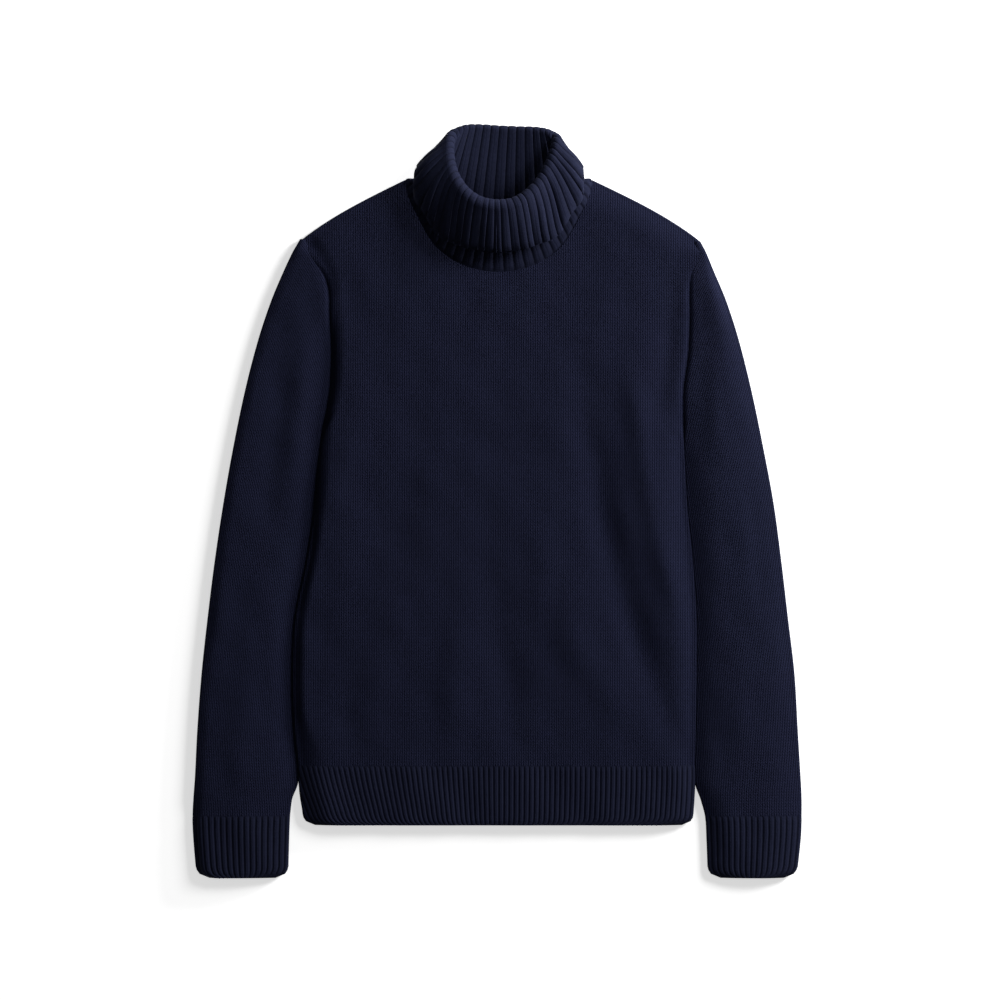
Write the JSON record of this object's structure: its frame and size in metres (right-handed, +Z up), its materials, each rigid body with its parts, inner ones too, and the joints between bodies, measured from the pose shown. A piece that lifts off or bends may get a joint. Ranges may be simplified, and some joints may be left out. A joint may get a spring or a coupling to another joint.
{
  "type": "sweater",
  "caption": "Navy roll-neck sweater in heavy knit, laid flat on its back, with a ribbed collar, cuffs and hem.",
  "frame": {"origin": "middle of the laid garment's box, on the surface that it lies on", "axes": "+X towards the wearer's left sleeve, +Y from the hem towards the collar, +Z up from the surface"},
  "size_m": [0.6466, 0.7956, 0.0489],
  "materials": {
    "navy_jersey": "matt wool knit",
    "navy_rib": "matt wool rib"
  },
  "bodies": {
    "root": {"front_panel": "navy_jersey", "back_panel": "navy_jersey", "front_hem_rib": "navy_rib", "back_hem_rib": "navy_rib", "right_sleeve": "navy_jersey", "left_sleeve": "navy_jersey", "right_cuff": "navy_rib", "left_cuff": "navy_rib", "collar_foot": "navy_rib", "collar_roll": "navy_rib"}
  },
  "joints": []
}
